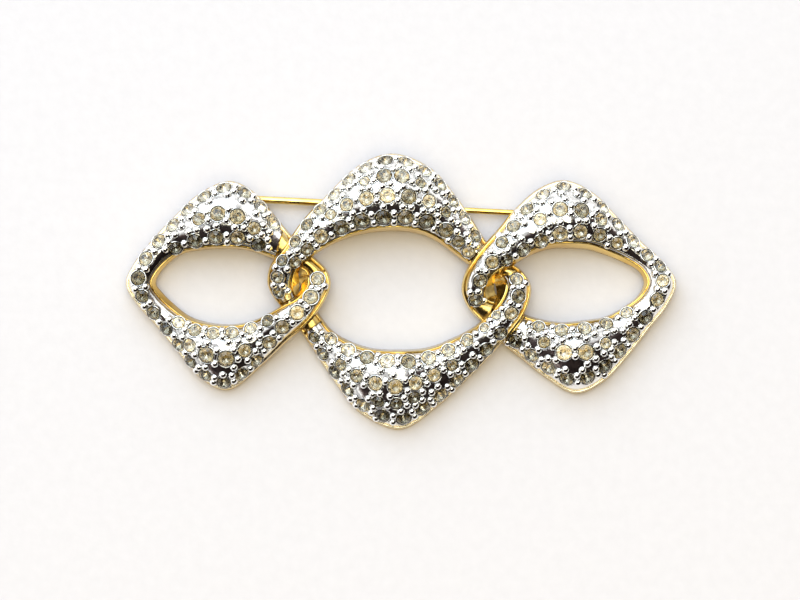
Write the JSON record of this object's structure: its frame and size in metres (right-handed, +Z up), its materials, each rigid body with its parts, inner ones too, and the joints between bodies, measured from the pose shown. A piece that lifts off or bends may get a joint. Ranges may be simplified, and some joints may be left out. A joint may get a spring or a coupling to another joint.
{
  "type": "brooch",
  "caption": "Brooch of interlocked open links with a domed, stone-set front and a hinged pin that closes into a hook on the back.",
  "frame": {"origin": "on the surface on which the brooch lies, under the centre of its outline", "axes": "+X along the brooch towards the hook's end, +Y up the front as worn, +Z up, out of the front"},
  "size_m": [0.0722, 0.036, 0.0075],
  "materials": {
    "link_left": "gold-coloured plate with a silver-coloured plate on the set front",
    "link_center": "gold-coloured plate with a silver-coloured plate on the set front",
    "link_right": "gold-coloured plate with a silver-coloured plate on the set front",
    "stones_left": "cut crystal with a foiled back",
    "stones_center": "cut crystal with a foiled back",
    "stones_right": "cut crystal with a foiled back",
    "pin_stem": "polished gold-coloured wire"
  },
  "bodies": {
    "brooch": {"link_left": "link_left", "link_center": "link_center", "link_right": "link_right", "stones_left": "stones_left", "stones_center": "stones_center", "stones_right": "stones_right"},
    "pin": {"pin_stem": "pin_stem"}
  },
  "joints": [
    {"name": "pin_swing", "type": "hinge", "parent": "brooch", "child": "pin", "pos_m": [-0.0236, 0.01246, 0.00106], "axis": [0.0474, 0.935, -0.3514], "range_deg": [0, 75]}
  ]
}
